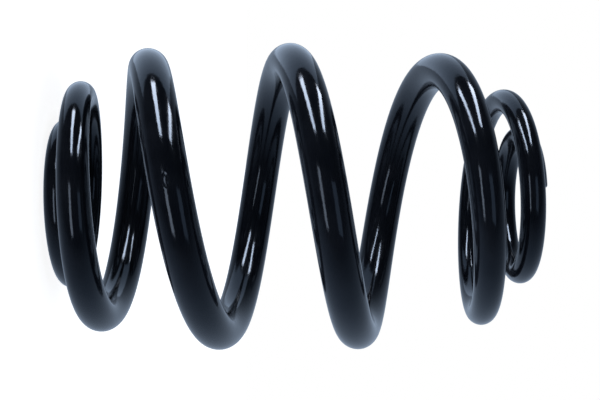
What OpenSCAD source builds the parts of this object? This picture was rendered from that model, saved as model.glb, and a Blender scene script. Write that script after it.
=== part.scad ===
// Barrel-shaped suspension coil spring: one round steel wire with a gloss coating, thinner
// towards both ends, wound right-handed, with a small pigtail turn at each end.
// Z is the spring's axis and the spring stands on its lower pigtail, so Z = 0 is the lower seat.
// The wire is drawn as stretches that meet in planes through the axis. A stretch can slide
// along Z past its neighbours as the spring is pressed, and never cuts into them.

/* [Whole spring] */
// Height of the unloaded spring over its two seats
free_length = 185; // [150:1:230]
// Turns of wire from one cut end to the other
total_turns = 6.48; // [6:0.02:7.8]
// Direction of the lower cut end, in degrees from +X
start_angle = 88; // [0:1:360]

/* [Body] */
// Mean diameter of the widest turn
body_mean_d = 104; // [84:0.2:126]
// Wire diameter along the body
body_wire_d = 14.7; // [12:0.1:18]
// How much steeper the pitch is at the shoulders than at mid-length, in mm a turn
shoulder_pitch_extra = 27.9; // [0:0.1:36]

/* [Lower end] */
// Mean diameter of the lower pigtail
lower_mean_d = 49.8; // [40:0.1:58]
// Turns from the lower cut end to where the coil starts to open out
lower_open_from = 0.12; // [0:0.01:0.4]
// Turns from the lower cut end to where it opens out fastest
lower_open_peak = 0.77; // [0.45:0.01:1.2]
// Turns from the lower cut end to where the coil is at its widest
lower_open_to = 3.04; // [2.2:0.01:3.2]
// Turns from the lower cut end to where the pigtail lifts off its seat
lower_lift_from = 0.32; // [0.25:0.01:0.6]
// Pitch of the pigtail once it has lifted off, in mm a turn
lower_pigtail_pitch = 5.6; // [0:0.2:12]
// Turns from the lower cut end to where the pitch starts to steepen
lower_climb_from = 0.38; // [0.3:0.01:0.8]
// Turns from the lower cut end to the steepest pitch
lower_climb_to = 2.59; // [1.8:0.01:2.8]
// How late the lower end's pitch steepens: 1 is evenly, and more is later
lower_climb_power = 2.67; // [1:0.01:3.2]
// Turns from the lower cut end to where the wire starts to thicken
lower_taper_from = 1.03; // [0.6:0.01:1.3]
// Turns from the lower cut end to the full wire diameter
lower_taper_to = 2.01; // [1.8:0.01:2.9]

/* [Upper end] */
// Mean diameter of the upper pigtail
upper_mean_d = 46.8; // [40:0.1:58]
// Turns from the upper cut end to where the coil starts to open out
upper_open_from = 0.21; // [0:0.01:0.4]
// Turns from the upper cut end to where it opens out fastest
upper_open_peak = 0.7; // [0.6:0.01:1.2]
// Turns from the upper cut end to where the coil is at its widest
upper_open_to = 3.04; // [2.2:0.01:3.2]
// Turns from the upper cut end to where the pigtail lifts off its seat
upper_lift_from = 0.53; // [0.25:0.01:0.6]
// Pitch of the pigtail once it has lifted off, in mm a turn
upper_pigtail_pitch = 10.6; // [0:0.2:12]
// Turns from the upper cut end to where the pitch starts to steepen
upper_climb_from = 0.67; // [0.55:0.01:0.9]
// Turns from the upper cut end to the steepest pitch
upper_climb_to = 2.69; // [1.8:0.01:2.8]
// How late the upper end's pitch steepens: 1 is evenly, and more is later
upper_climb_power = 2.23; // [1:0.01:3.2]
// Turns from the upper cut end to where the wire starts to thicken
upper_taper_from = 1.48; // [0.6:0.01:1.6]
// Turns from the upper cut end to the full wire diameter
upper_taper_to = 2.43; // [1.8:0.01:2.9]

/* [Cut ends] */
// Wire diameter at both cut ends
end_wire_d = 9.1; // [7.5:0.1:11]
// Width of the rounded edge around each cut end
end_round = 0.9; // [0.3:0.1:1.5]

/* [Stretches] */
// Turns of wire that lie in each seat and do not work
seat_turns = 1; // [0.8:0.02:1.2]
// Sliding stretches between the two seat coils
stretch_count = 20; // [16:1:24]
// Flat sides around the wire
wire_sides = 16; // [12:4:20]
// Rings of points for one turn of wire
rings_per_turn = 48; // [36:4:60]

/* [Hidden] */
// Half of the angle that one flat side takes, so that a flat faces each seat
half_side = 180 / wire_sides;
// Height of a wire's centre over the seat that its lowest flat lies on, as a share of its radius
flat_share = cos(half_side);
// Steps over which each cut end's edge is rounded
round_steps = 4;
// Turns over which the pigtail eases off its seat
lift_run = 0.25;

half_turns = total_turns / 2;
active_turns = total_turns - 2 * seat_turns;
lower_end = [lower_mean_d, lower_open_from, lower_open_peak, lower_open_to,
             lower_climb_from, lower_climb_to, lower_climb_power,
             lower_taper_from, lower_taper_to, lower_lift_from, lower_pigtail_pitch];
upper_end = [upper_mean_d, upper_open_from, upper_open_peak, upper_open_to,
             upper_climb_from, upper_climb_to, upper_climb_power,
             upper_taper_from, upper_taper_to, upper_lift_from, upper_pigtail_pitch];

coating = [0.055, 0.065, 0.085];

function stretch_name(i) = str("coil_stretch_", i < 10 ? "0" : "", i);

function limit(x) = min(max(x, 0), 1);
function smooth(x) = let (t = limit(x)) t * t * (3 - 2 * t);

// Height that the pigtail's own pitch gives the wire after s turns from an end
function lift(s, end) =
    let (lifted = max(s - end[9], 0))
    end[10] * (lifted < lift_run ? pow(lifted, 2) / (2 * lift_run) : lifted - lift_run / 2);

// What the shoulder adds to that, for a shoulder pitch of 1 mm a turn
function climb(s, end) =
    let (from = end[4], to = end[5], power = end[6], t = limit((s - from) / (to - from)))
    (to - from) * pow(t, power + 1) / (power + 1) + max(s - to, 0);

// How far the wire falls behind that climb, because the pitch eases towards mid-length
function ease(s, end) =
    let (to = end[5], t = limit((s - to) / (half_turns - to)))
    (half_turns - to) * shoulder_pitch_extra * (pow(t, 3) - pow(t, 4) / 2);

// Pitch that the shoulders add, from the free length
shoulder_pitch = (free_length - end_wire_d * flat_share
                  - lift(half_turns, lower_end) - lift(half_turns, upper_end)
                  + ease(half_turns, lower_end) + ease(half_turns, upper_end))
               / (climb(half_turns, lower_end) + climb(half_turns, upper_end));

function rise(s, end) = lift(s, end) + shoulder_pitch * climb(s, end) - ease(s, end);

// Radius of the coil's centre line after s turns from an end. The coil opens out at a rate
// that grows evenly up to the peak and then falls evenly to nothing.
function end_radius(s, end) =
    let (from = end[1], peak = end[2], to = end[3],
         opened = s < from ? 0
                : s < peak ? pow(s - from, 2) / ((peak - from) * (to - from))
                : 1 - pow(max(to - s, 0), 2) / ((to - peak) * (to - from)))
    (end[0] + (body_mean_d - end[0]) * opened) / 2;

function end_wire(s, end) =
    end_wire_d + (body_wire_d - end_wire_d) * smooth((s - end[7]) / (end[8] - end[7]));

function in_lower(turn) = turn <= half_turns;
function coil_radius(turn) = in_lower(turn) ? end_radius(turn, lower_end)
                                            : end_radius(total_turns - turn, upper_end);
function wire_d(turn) = in_lower(turn) ? end_wire(turn, lower_end)
                                       : end_wire(total_turns - turn, upper_end);
function height(turn) =
    let (seat_gap = end_wire_d / 2 * flat_share)
    in_lower(turn) ? seat_gap + rise(turn, lower_end)
                   : free_length - seat_gap - rise(total_turns - turn, upper_end);

// Shrinks the section close to a cut end, so that the end's edge is a quarter round
function edge_scale(turn) =
    let (arc = min(turn, total_turns - turn) * PI * 2 * coil_radius(turn),
         t = 1 - limit(arc / end_round))
    1 - end_round * (1 - sqrt(1 - t * t)) / (end_wire_d / 2);

// One ring of points: the wire's section in the plane through the axis at this turn.
// A wire that climbs or opens out crosses that plane at a slant, which stretches the section.
function ring(turn) =
    let (step = 0.001,
         before = max(turn - step, 0),
         after = min(turn + step, total_turns),
         out = (coil_radius(after) - coil_radius(before)) / (after - before),
         up = (height(after) - height(before)) / (after - before),
         along = 2 * PI * coil_radius(turn),
         slant = sqrt(out * out + up * up),
         grow = sqrt(1 + pow(slant / along, 2)) - 1,
         way = slant > 0 ? [out, up] / slant : [1, 0],
         r = wire_d(turn) / 2 * edge_scale(turn),
         angle = start_angle + 360 * turn)
    [for (i = [0 : wire_sides - 1])
        let (a = half_side + 360 * i / wire_sides,
             flat = r * [cos(a), sin(a)],
             point = flat + way * (flat * way) * grow,
             out_r = coil_radius(turn) + point[0])
        [out_r * cos(angle), out_r * sin(angle), height(turn) + point[1]]];

// Turns at which a stretch of wire has its rings, with close ones at a cut end
function stations(from, to) =
    let (count = max(2, ceil((to - from) * rings_per_turn)),
         round_turn = end_round / (2 * PI * coil_radius(from == 0 ? 0 : to)),
         even = [for (i = [0 : count]) from + (to - from) * i / count],
         edge = [for (i = [0 : round_steps - 1]) round_turn * (1 - cos(90 * i / round_steps))])
    from == 0 ? concat(edge, [for (t = even) if (t > round_turn * 1.5) t])
    : to == total_turns
        ? concat([for (t = even) if (t < to - round_turn * 1.5) t],
                 [for (i = [round_steps - 1 : -1 : 0]) to - edge[i]])
    : even;

// The solid stretch of wire between two turns, closed by a flat face at each end
module wire(from, to) {
    rings = [for (t = stations(from, to)) ring(t)];
    last = len(rings) - 1;
    side = [for (r = [0 : last - 1], i = [0 : wire_sides - 1])
        let (j = (i + 1) % wire_sides, a = r * wire_sides, b = a + wire_sides)
        each [[a + i, a + j, b + j], [a + i, b + j, b + i]]];
    first_face = [for (i = [wire_sides - 1 : -1 : 0]) i];
    last_face = [for (i = [0 : wire_sides - 1]) last * wire_sides + i];
    polyhedron([for (r = rings) each r], concat([first_face], side, [last_face]), convexity = 6);
}

// The lower pigtail, which lies on the lower spring seat
module lower_seat_coil() {
    color(coating) wire(0, seat_turns);
}

// The upper pigtail, which carries the upper spring seat
module upper_seat_coil() {
    color(coating) wire(total_turns - seat_turns, total_turns);
}

// One of the working stretches, counted from the lower end
module coil_stretch(i) {
    share = active_turns / stretch_count;
    color(coating) wire(seat_turns + share * (i - 1), seat_turns + share * i);
}

lower_seat_coil();
for (i = [1 : stretch_count])
    coil_stretch(i);
upper_seat_coil();
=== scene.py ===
"""Barrel-shaped suspension coil spring: one tapered steel wire with a gloss black coating.

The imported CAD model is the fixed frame. Its stretches of wire are shown as one smooth wire that
closes up as the upper seat comes down. Every size is in metres, in the row frame.
"""

import math

import bpy
import numpy as np
from mathutils import Matrix, Vector


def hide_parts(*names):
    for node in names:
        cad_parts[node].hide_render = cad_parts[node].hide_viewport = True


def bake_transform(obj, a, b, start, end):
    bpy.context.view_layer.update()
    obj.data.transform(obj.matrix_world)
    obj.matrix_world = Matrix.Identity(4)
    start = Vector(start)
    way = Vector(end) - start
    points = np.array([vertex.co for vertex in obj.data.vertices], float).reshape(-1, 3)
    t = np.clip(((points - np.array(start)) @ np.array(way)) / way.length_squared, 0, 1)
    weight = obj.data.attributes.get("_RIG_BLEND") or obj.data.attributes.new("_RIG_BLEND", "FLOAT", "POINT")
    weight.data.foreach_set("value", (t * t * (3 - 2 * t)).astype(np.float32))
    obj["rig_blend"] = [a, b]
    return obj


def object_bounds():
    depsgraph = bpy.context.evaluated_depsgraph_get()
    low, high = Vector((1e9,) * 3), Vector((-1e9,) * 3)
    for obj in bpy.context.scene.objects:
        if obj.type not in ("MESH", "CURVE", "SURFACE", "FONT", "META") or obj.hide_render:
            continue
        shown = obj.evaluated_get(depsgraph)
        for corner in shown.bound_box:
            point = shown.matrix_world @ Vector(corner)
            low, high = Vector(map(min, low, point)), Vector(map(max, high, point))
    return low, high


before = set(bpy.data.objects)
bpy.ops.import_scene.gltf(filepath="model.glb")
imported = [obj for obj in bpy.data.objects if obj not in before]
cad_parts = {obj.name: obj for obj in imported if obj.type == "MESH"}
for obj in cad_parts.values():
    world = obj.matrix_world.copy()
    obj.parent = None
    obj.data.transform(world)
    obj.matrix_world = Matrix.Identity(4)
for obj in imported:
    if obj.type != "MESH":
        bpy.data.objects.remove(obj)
cad_low, cad_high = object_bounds()

# ---- Sizes of the spring, as the CAD model has them -------------------------------------------

FREE_LENGTH = cad_high.z - cad_low.z
TOTAL_TURNS = 6.48
START_ANGLE = math.radians(88)
BODY_MEAN_D = 0.104
BODY_WIRE_D = 0.0147
SHOULDER_PITCH_EXTRA = 0.0279
END_WIRE_D = 0.0091
END_ROUND = 0.0009
SEAT_TURNS = 1
CAD_WIRE_SIDES = 16

LOWER_END = {
    "mean_d": 0.0498, "open_from": 0.12, "open_peak": 0.77, "open_to": 3.04,
    "lift_from": 0.32, "pigtail_pitch": 0.0056,
    "climb_from": 0.38, "climb_to": 2.59, "climb_power": 2.67,
    "taper_from": 1.03, "taper_to": 2.01,
}
UPPER_END = {
    "mean_d": 0.0468, "open_from": 0.21, "open_peak": 0.7, "open_to": 3.04,
    "lift_from": 0.53, "pigtail_pitch": 0.0106,
    "climb_from": 0.67, "climb_to": 2.69, "climb_power": 2.23,
    "taper_from": 1.48, "taper_to": 2.43,
}
LIFT_RUN = 0.25

HALF_TURNS = TOTAL_TURNS / 2
SEAT_GAP = END_WIRE_D / 2 * math.cos(math.pi / CAD_WIRE_SIDES)

# How finely the smooth wire is made
WIRE_SIDES = 64
RINGS_PER_TURN = 190
ROUND_STEPS = 7
CUT_FACE_STEPS = 5

# How far before and after a place on the wire its slope is measured, in turns
SLOPE_STEP = 0.001

# The gloss coating, and the small faults in it
COATING_IOR = 1.5
WAVE_DEPTH = 0.00006
PEEL_DEPTH = 0.000026
NIBS_PER_METRE = 110
# Radius of a nib, as a share of the distance between nibs
NIB_SHARE = 0.035
NIB_HEIGHT = 0.00007
# The mark is a low ring, which rises from the inner radius to the middle one and ends at the outer
TOUCH_MARK_TURN = 2.485
MARK_INNER, MARK_MIDDLE, MARK_OUTER = 0.0006, 0.0009, 0.0013
MARK_HEIGHT = 0.00016
CUT_GRAIN_DEPTH = 0.00025


# ---- The wire's path ---------------------------------------------------------------------------

def share_of(value, start, end):
    """How far value is on its way from start to end, from 0 to 1."""
    return np.clip((value - start) / (end - start), 0, 1)


def lift(turns, end):
    """Height that the pigtail's own pitch gives the wire that many turns from an end."""
    lifted = np.maximum(turns - end["lift_from"], 0)
    rise = np.where(lifted < LIFT_RUN, lifted ** 2 / (2 * LIFT_RUN), lifted - LIFT_RUN / 2)
    return end["pigtail_pitch"] * rise


def climb(turns, end):
    """What the shoulder adds to that, for a shoulder pitch of 1 m a turn."""
    span = end["climb_to"] - end["climb_from"]
    power = end["climb_power"] + 1
    run_in = span * share_of(turns, end["climb_from"], end["climb_to"]) ** power / power
    return run_in + np.maximum(turns - end["climb_to"], 0)


def ease(turns, end):
    """How far the wire falls behind that climb, because the pitch eases towards mid-length."""
    t = share_of(turns, end["climb_to"], HALF_TURNS)
    return (HALF_TURNS - end["climb_to"]) * SHOULDER_PITCH_EXTRA * (t ** 3 - t ** 4 / 2)


def opened(turns, end):
    """How far the coil has opened out from the pigtail, from 0 to 1."""
    start, peak, stop = end["open_from"], end["open_peak"], end["open_to"]
    growing = np.maximum(turns - start, 0) ** 2 / ((peak - start) * (stop - start))
    falling = 1 - np.maximum(stop - turns, 0) ** 2 / ((stop - peak) * (stop - start))
    return np.where(turns < peak, growing, falling)


def thickened(turns, end):
    """How far the wire has thickened from its end, from 0 to 1."""
    t = share_of(turns, end["taper_from"], end["taper_to"])
    return t * t * (3 - 2 * t)


def from_both_ends(rule, turn):
    """rule worked out from whichever end of the wire is nearer."""
    return np.where(turn <= HALF_TURNS, rule(turn, LOWER_END), rule(TOTAL_TURNS - turn, UPPER_END))


ENDS = (LOWER_END, UPPER_END)
SHOULDER_PITCH = ((FREE_LENGTH - 2 * SEAT_GAP
                   + sum(ease(HALF_TURNS, end) - lift(HALF_TURNS, end) for end in ENDS))
                  / sum(climb(HALF_TURNS, end) for end in ENDS))


def coil_radius(turn):
    return from_both_ends(
        lambda t, end: (end["mean_d"] + (BODY_MEAN_D - end["mean_d"]) * opened(t, end)) / 2, turn)


def wire_radius(turn):
    return from_both_ends(
        lambda t, end: (END_WIRE_D + (BODY_WIRE_D - END_WIRE_D) * thickened(t, end)) / 2, turn)


def height(turn):
    rise = from_both_ends(
        lambda t, end: lift(t, end) + SHOULDER_PITCH * climb(t, end) - ease(t, end), turn)
    return cad_low.z + np.where(turn <= HALF_TURNS, SEAT_GAP + rise,
                                FREE_LENGTH - SEAT_GAP - rise)


def travel_share(turn):
    """Share of the upper seat's travel that this turn of the wire moves by."""
    return share_of(height(turn), height(SEAT_TURNS), height(TOTAL_TURNS - SEAT_TURNS))


# ---- The wire's mesh ---------------------------------------------------------------------------

def wire_stations():
    """Turns at which the wire has a ring, closer together over the rounded cut edges."""
    start_round = END_ROUND / (2 * math.pi * coil_radius(0.0))
    end_round = END_ROUND / (2 * math.pi * coil_radius(TOTAL_TURNS))
    past_round = 1.5 * start_round
    quarter = 1 - np.cos(np.linspace(0, math.pi / 2, ROUND_STEPS, endpoint=False))
    even = np.linspace(past_round, TOTAL_TURNS - past_round, round(TOTAL_TURNS * RINGS_PER_TURN))
    return np.concatenate([start_round * quarter, even,
                           TOTAL_TURNS - (end_round * quarter)[::-1]])


def edge_scale(turn):
    """Shrinks the section close to a cut end, so that the end's edge is a quarter round."""
    arc = np.minimum(turn, TOTAL_TURNS - turn) * 2 * math.pi * coil_radius(turn)
    t = 1 - share_of(arc, 0, END_ROUND)
    return 1 - END_ROUND * (1 - np.sqrt(1 - t * t)) / (END_WIRE_D / 2)


def wire_rings(turn):
    """Points of each ring, and the same points on the wire before it was wound."""
    before = np.maximum(turn - SLOPE_STEP, 0)
    after = np.minimum(turn + SLOPE_STEP, TOTAL_TURNS)
    out = (coil_radius(after) - coil_radius(before)) / (after - before)
    up = (height(after) - height(before)) / (after - before)
    slant = np.hypot(out, up)
    along = 2 * math.pi * coil_radius(turn)
    # A wire that climbs or opens out crosses a plane through the axis at a slant
    grow = np.sqrt(1 + (slant / along) ** 2) - 1
    way_out = np.divide(out, slant, out=np.ones_like(out), where=slant > 0)
    way_up = np.divide(up, slant, out=np.zeros_like(up), where=slant > 0)

    around = np.arange(WIRE_SIDES) * 2 * math.pi / WIRE_SIDES
    radius = (wire_radius(turn) * edge_scale(turn))[:, None]
    flat_out, flat_up = radius * np.cos(around), radius * np.sin(around)
    stretch = (flat_out * way_out[:, None] + flat_up * way_up[:, None]) * grow[:, None]
    distance = coil_radius(turn)[:, None] + flat_out + way_out[:, None] * stretch
    level = height(turn)[:, None] + flat_up + way_up[:, None] * stretch
    angle = (START_ANGLE + 2 * math.pi * turn)[:, None]
    wound = np.stack([distance * np.cos(angle), distance * np.sin(angle), level], axis=-1)

    length = np.hypot(along, slant)
    run = np.concatenate([[0], np.cumsum((length[1:] + length[:-1]) / 2 * np.diff(turn))])
    straight = np.stack([np.broadcast_to(run[:, None], flat_out.shape), flat_out, flat_up], axis=-1)
    return wound, straight


def cut_face(ring, ring_straight):
    """Smaller and smaller copies of an end ring that close the cut end, and their middle point."""
    middle, middle_straight = ring.mean(0), ring_straight.mean(0)
    scales = 1 - np.arange(1, CUT_FACE_STEPS)[:, None, None] / CUT_FACE_STEPS
    return (middle + scales * (ring - middle), middle,
            middle_straight + scales * (ring_straight - middle_straight), middle_straight)


def strip_faces(first_ring, ring_count):
    """The quads between consecutive rings, numbered from the ring at first_ring."""
    side = np.arange(WIRE_SIDES)
    following = (side + 1) % WIRE_SIDES
    rows = (first_ring + np.arange(ring_count - 1))[:, None] * WIRE_SIDES
    return np.stack([rows + side, rows + following,
                     rows + WIRE_SIDES + following, rows + WIRE_SIDES + side], axis=-1).reshape(-1, 4)


def make_wire():
    """The whole spring as one closed mesh, with its coating and its two cut faces."""
    turn = wire_stations()
    wound, straight = wire_rings(turn)
    start_rings, start_middle, start_straight, start_middle_s = cut_face(wound[0], straight[0])
    end_rings, end_middle, end_straight, end_middle_s = cut_face(wound[-1], straight[-1])

    rings = np.concatenate([start_rings[::-1], wound, end_rings])
    rings_straight = np.concatenate([start_straight[::-1], straight, end_straight])
    ring_turn = np.concatenate([np.full(len(start_rings), turn[0]), turn,
                                np.full(len(end_rings), turn[-1])])
    points = np.concatenate([rings.reshape(-1, 3), [start_middle, end_middle]])
    unwound = np.concatenate([rings_straight.reshape(-1, 3), [start_middle_s, end_middle_s]])
    point_turn = np.concatenate([np.repeat(ring_turn, WIRE_SIDES), [turn[0], turn[-1]]])

    quads = strip_faces(0, len(rings))
    side = np.arange(WIRE_SIDES)
    following = (side + 1) % WIRE_SIDES
    last_row = (len(rings) - 1) * WIRE_SIDES
    start_fan = np.stack([np.full(WIRE_SIDES, len(points) - 2), following, side], axis=-1)
    end_fan = np.stack([np.full(WIRE_SIDES, len(points) - 1),
                        last_row + side, last_row + following], axis=-1)

    mesh = bpy.data.meshes.new("coated_wire")
    mesh.from_pydata(points.tolist(), [], quads.tolist() + start_fan.tolist() + end_fan.tolist())
    mesh.shade_smooth()
    mesh.attributes.new("straight", "FLOAT_VECTOR", "POINT").data.foreach_set(
        "vector", unwound.astype(np.float32).ravel())
    cut_quads = (CUT_FACE_STEPS - 1) * WIRE_SIDES
    is_cut = np.zeros(len(mesh.polygons), np.int32)
    is_cut[:cut_quads] = 1
    is_cut[len(quads) - cut_quads:] = 1
    mesh.polygons.foreach_set("material_index", is_cut)
    # The touch mark is on the side of the wire that faces away from the axis
    mark_ring = int(np.searchsorted(turn, TOUCH_MARK_TURN))
    mesh.materials.append(gloss_coating(straight[mark_ring, -1].tolist()))
    mesh.materials.append(coated_cut())
    mesh.update()

    wire = bpy.data.objects.new("coated_wire", mesh)
    bpy.context.scene.collection.objects.link(wire)
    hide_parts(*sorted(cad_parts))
    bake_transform(wire, "lower_seat", "upper_seat",
             start=(0, 0, float(height(SEAT_TURNS))),
             end=(0, 0, float(height(TOTAL_TURNS - SEAT_TURNS))))
    # Each section of the wire moves as one, by its own share of the travel
    mesh.attributes["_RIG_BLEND"].data.foreach_set(
        "value", travel_share(point_turn).astype(np.float32))
    return wire


# ---- Materials ---------------------------------------------------------------------------------

class Nodes:
    """Short ways to add and join the nodes of a material or world, which is the owner."""

    def __init__(self, owner):
        self.owner = owner
        owner.use_nodes = True
        self.tree = owner.node_tree

    def add(self, kind, **settings):
        node = self.tree.nodes.new(kind)
        for key, value in settings.items():
            if key in node.inputs:
                node.inputs[key].default_value = value
            else:
                setattr(node, key, value)
        return node

    def join(self, output, socket):
        self.tree.links.new(output, socket)

    def shader(self, constants):
        """The sockets of the material's Principled shader, some set to the constants given."""
        sockets = self.tree.nodes["Principled BSDF"].inputs
        for key, value in constants.items():
            sockets[key].default_value = value
        return sockets

    def unwound_place(self):
        """The place on the wire before it was wound, so that no pattern slides in a pose."""
        return self.add("ShaderNodeAttribute", attribute_name="straight").outputs["Vector"]

    def noise(self, scale, detail=2.0, roughness=0.5, stretch=(1, 1, 1)):
        """Noise whose features are about 1 / scale metres across."""
        mapping = self.add("ShaderNodeMapping")
        mapping.inputs["Scale"].default_value = stretch
        self.join(self.unwound_place(), mapping.inputs["Vector"])
        node = self.add("ShaderNodeTexNoise", Scale=scale, Detail=detail, Roughness=roughness)
        self.join(mapping.outputs["Vector"], node.inputs["Vector"])
        return node.outputs["Fac"]

    def remap(self, value, from_low, from_high, to_low, to_high):
        node = self.add("ShaderNodeMapRange", clamp=True)
        for key, number in (("From Min", from_low), ("From Max", from_high),
                            ("To Min", to_low), ("To Max", to_high)):
            node.inputs[key].default_value = number
        self.join(value, node.inputs["Value"])
        return node.outputs["Result"]

    def tones(self, value, dark, light):
        """A colour between dark and light, by value."""
        node = self.add("ShaderNodeMix", data_type="RGBA")
        node.inputs["A"].default_value = (*dark, 1)
        node.inputs["B"].default_value = (*light, 1)
        self.join(value, node.inputs["Factor"])
        return node.outputs["Result"]

    def bump(self, height_value, distance, normal=None):
        node = self.add("ShaderNodeBump", Distance=distance, Strength=1.0)
        self.join(height_value, node.inputs["Height"])
        if normal is not None:
            self.join(normal, node.inputs["Normal"])
        return node.outputs["Normal"]


def gloss_coating(touch_mark):
    """Blue-black gloss coating: smooth, with orange peel, faint waves, duller spots, dust nibs
    and one mark where the wire was touched, given as its place on the unwound wire."""
    m = Nodes(bpy.data.materials.new("gloss_coating"))
    shader = m.shader({"IOR": COATING_IOR, "Specular Tint": (0.72, 0.85, 1.0, 1)})

    cloud = m.remap(m.noise(90, detail=4), 0.35, 0.65, 0, 1)
    m.join(m.tones(cloud, (0.0030, 0.0038, 0.0062), (0.0058, 0.0070, 0.0105)),
           shader["Base Color"])
    dull_spots = m.noise(160, detail=5, roughness=0.6)
    m.join(m.remap(dull_spots, 0.3, 0.75, 0.075, 0.17), shader["Roughness"])

    waves = m.bump(m.noise(140, detail=1, stretch=(0.5, 1, 1)), WAVE_DEPTH)
    peel = m.bump(m.noise(620, detail=3, roughness=0.6), PEEL_DEPTH, waves)

    nibs = m.add("ShaderNodeTexVoronoi", Scale=NIBS_PER_METRE)
    m.join(m.unwound_place(), nibs.inputs["Vector"])
    with_nibs = m.bump(m.remap(nibs.outputs["Distance"], 0.0, NIB_SHARE, 1, 0), NIB_HEIGHT, peel)
    m.join(m.bump(mark_ridge(m, touch_mark), MARK_HEIGHT, with_nibs), shader["Normal"])
    return m.owner


def mark_ridge(m, touch_mark):
    """Height of the touch mark's ring, from 0 to 1. The ring is twice as long as it is wide."""
    from_mark = m.add("ShaderNodeVectorMath", operation="SUBTRACT")
    m.join(m.unwound_place(), from_mark.inputs[0])
    from_mark.inputs[1].default_value = touch_mark
    shortened = m.add("ShaderNodeMapping")
    shortened.inputs["Scale"].default_value = (0.5, 1, 1)
    m.join(from_mark.outputs["Vector"], shortened.inputs["Vector"])
    away = m.add("ShaderNodeVectorMath", operation="LENGTH")
    m.join(shortened.outputs["Vector"], away.inputs[0])
    ridge = m.add("ShaderNodeMath", operation="SUBTRACT")
    m.join(m.remap(away.outputs["Value"], MARK_MIDDLE, MARK_OUTER, 1, 0), ridge.inputs[0])
    m.join(m.remap(away.outputs["Value"], MARK_INNER, MARK_MIDDLE, 1, 0), ridge.inputs[1])
    return ridge.outputs["Value"]


def coated_cut():
    """The coating over the sheared end faces: thinner, rougher and duller."""
    m = Nodes(bpy.data.materials.new("coated_cut"))
    shader = m.shader({"IOR": COATING_IOR})
    grain = m.noise(1500, detail=4, roughness=0.65, stretch=(1, 1, 0.3))
    m.join(m.tones(m.remap(grain, 0.35, 0.7, 0, 1), (0.004, 0.005, 0.007), (0.016, 0.017, 0.020)),
           shader["Base Color"])
    m.join(m.remap(grain, 0.3, 0.7, 0.3, 0.5), shader["Roughness"])
    m.join(m.bump(grain, CUT_GRAIN_DEPTH), shader["Normal"])
    return m.owner


# ---- Camera, light and floor -------------------------------------------------------------------

MIDDLE = Vector((0, 0, cad_low.z + FREE_LENGTH / 2))
# The spring lies on its side in the picture: right is +Z, up is -X and the front is -Y
PICTURE_TO_ROW = Matrix(((0, -1, 0), (0, 0, -1), (1, 0, 0)))
CAMERA_DISTANCE = 0.4140
CAMERA_LENS = 63.72
CAMERA_YAW, CAMERA_PITCH, CAMERA_ROLL = (math.radians(a) for a in (2.74, 0.85, -0.13))
CAMERA_SHIFT_RIGHT, CAMERA_SHIFT_UP = 0.00161, -0.00125

# The light tent that the coating reflects
TENT_TOP = 0.265
TENT_COLOUR = (0.80, 1.0, 1.3)
# The two bright strips under the tent's top, left and right of the spring's middle
LEFT_STRIP, RIGHT_STRIP = -0.087, 0.152
TOP_STRIP_WIDTH = 0.058
TOP_STRIP_RADIANCE = 17
STRIP_COLOUR = (0.95, 0.98, 1.08)
# Watts for each square metre of an area light that has a radiance of 1
WATTS_FOR_RADIANCE = math.pi

# The floor glows a little, so that it looks white beside the spring, and keeps a faint shadow
FLOOR_SIDE = 40
FLOOR_GLOW = 0.90
FLOOR_LIGHT = 0.45
FLOOR_LIGHT_ANGLE = math.radians(80)


def picture_place(right, up, front):
    """A place in the row frame, given as the camera sees it from the spring's middle."""
    return MIDDLE + PICTURE_TO_ROW @ Vector((right, up, front))


def make_camera():
    camera = bpy.data.objects.new("camera", bpy.data.cameras.new("camera"))
    bpy.context.scene.collection.objects.link(camera)
    camera.data.lens = CAMERA_LENS
    camera.data.clip_start, camera.data.clip_end = 0.01, 50
    turned = (Matrix.Rotation(CAMERA_ROLL, 4, "Z") @ Matrix.Rotation(CAMERA_PITCH, 4, "X")
              @ Matrix.Rotation(CAMERA_YAW, 4, "Y"))
    stand = Matrix.Translation((CAMERA_SHIFT_RIGHT, CAMERA_SHIFT_UP, CAMERA_DISTANCE))
    camera.matrix_world = (Matrix.Translation(MIDDLE) @ PICTURE_TO_ROW.to_4x4()
                           @ turned.inverted() @ stand)
    bpy.context.scene.camera = camera


def soft_box(name, place, facing, along, width, length, radiance, colour=(1, 1, 1)):
    """A rectangular soft light placed as the camera sees it. Only reflections show it."""
    data = bpy.data.lights.new(name, "AREA")
    data.shape = "RECTANGLE"
    data.size, data.size_y = width, length
    data.energy = radiance * WATTS_FOR_RADIANCE * width * length
    data.color = colour
    box = bpy.data.objects.new(name, data)
    bpy.context.scene.collection.objects.link(box)
    back = -Vector(facing).normalized()
    long_way = (Vector(along) - Vector(along).dot(back) * back).normalized()
    turned = Matrix((long_way.cross(back), long_way, back)).transposed()
    box.matrix_world = (Matrix.Translation(picture_place(*place))
                        @ (PICTURE_TO_ROW @ turned).to_4x4())
    box.visible_camera = False
    box.visible_diffuse = False
    return box


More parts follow.
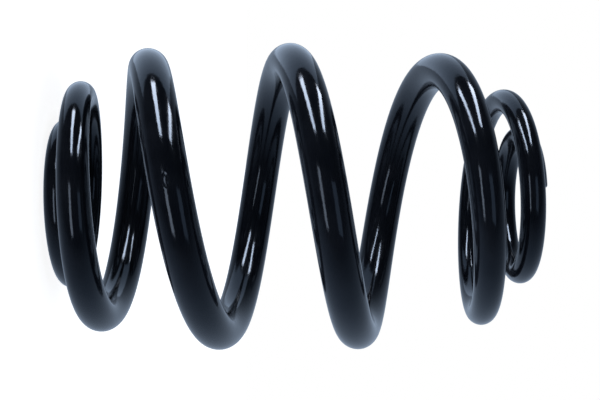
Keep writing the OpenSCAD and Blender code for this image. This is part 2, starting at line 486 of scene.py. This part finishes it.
def make_lights():
    """Two strips over the front of the spring, the top of the light tent behind them, and two
    dim strips beside the camera."""
    down, up, front = (0, -1, 0), (0, 1, 0), (0, 0, 1)
    soft_box("top_strip_left", place=(LEFT_STRIP, TENT_TOP, 0.1475), facing=down, along=front,
             width=TOP_STRIP_WIDTH, length=0.265, radiance=TOP_STRIP_RADIANCE, colour=STRIP_COLOUR)
    soft_box("top_strip_right", place=(RIGHT_STRIP, TENT_TOP, 0.0975), facing=down, along=front,
             width=TOP_STRIP_WIDTH, length=0.225, radiance=TOP_STRIP_RADIANCE, colour=STRIP_COLOUR)
    soft_box("tent_top", place=(-0.10, TENT_TOP, -0.365), facing=down, along=front,
             width=0.52, length=0.67, radiance=0.62, colour=TENT_COLOUR)
    soft_box("front_strip_left", place=(-0.16, -0.03, 0.32), facing=(0.45, 0.1, -0.9), along=up,
             width=0.065, length=0.25, radiance=2.8, colour=STRIP_COLOUR)
    soft_box("front_strip_right", place=(0.20, -0.02, 0.32), facing=(-0.5, 0.1, -0.9), along=up,
             width=0.12, length=0.22, radiance=0.45, colour=TENT_COLOUR)


def make_world():
    """White to the camera, and otherwise the dim inside of the light tent."""
    w = Nodes(bpy.data.worlds.new("studio"))
    bpy.context.scene.world = w.owner
    white = w.tree.nodes["Background"]
    white.inputs["Color"].default_value = (1, 1, 1, 1)
    tent = w.add("ShaderNodeBackground", Color=(*TENT_COLOUR, 1))

    # The tent is lightest below and behind the spring, and darkest above the camera
    direction = w.add("ShaderNodeTexCoord")
    lightness = w.add("ShaderNodeVectorMath", operation="DOT_PRODUCT")
    lightness.inputs[1].default_value = PICTURE_TO_ROW @ Vector((0, -0.6, -0.8))
    w.join(direction.outputs["Generated"], lightness.inputs[0])
    w.join(w.remap(lightness.outputs["Value"], -0.3, 0.9, 0.03, 0.5), tent.inputs["Strength"])

    ray = w.add("ShaderNodeLightPath")
    seen_or_lit = w.add("ShaderNodeMixShader")
    w.join(ray.outputs["Is Camera Ray"], seen_or_lit.inputs["Fac"])
    w.join(tent.outputs["Background"], seen_or_lit.inputs[1])
    w.join(white.outputs["Background"], seen_or_lit.inputs[2])
    w.join(seen_or_lit.outputs["Shader"], w.tree.nodes["World Output"].inputs["Surface"])


def make_floor():
    """A plain pale floor under the standing spring, without a visible edge, and its soft light."""
    m = Nodes(bpy.data.materials.new("pale_floor"))
    m.shader({"Base Color": (0.9, 0.9, 0.9, 1), "Roughness": 0.8, "Specular IOR Level": 0,
              "Emission Color": (1, 1, 1, 1), "Emission Strength": FLOOR_GLOW})
    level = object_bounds()[0].z
    corners = [(x * FLOOR_SIDE / 2, y * FLOOR_SIDE / 2, level)
               for x, y in ((-1, -1), (1, -1), (1, 1), (-1, 1))]
    mesh = bpy.data.meshes.new("floor")
    mesh.from_pydata(corners, [], [(0, 1, 2, 3)])
    mesh.materials.append(m.owner)
    floor = bpy.data.objects.new("floor", mesh)
    bpy.context.scene.collection.objects.link(floor)
    floor.visible_glossy = False

    light = bpy.data.objects.new("floor_light", bpy.data.lights.new("floor_light", "SUN"))
    bpy.context.scene.collection.objects.link(light)
    light.data.energy = FLOOR_LIGHT
    light.data.angle = FLOOR_LIGHT_ANGLE
    light.visible_glossy = False


make_wire()
make_camera()
make_world()
make_lights()
make_floor()
bpy.context.scene.view_settings.view_transform = "Standard"
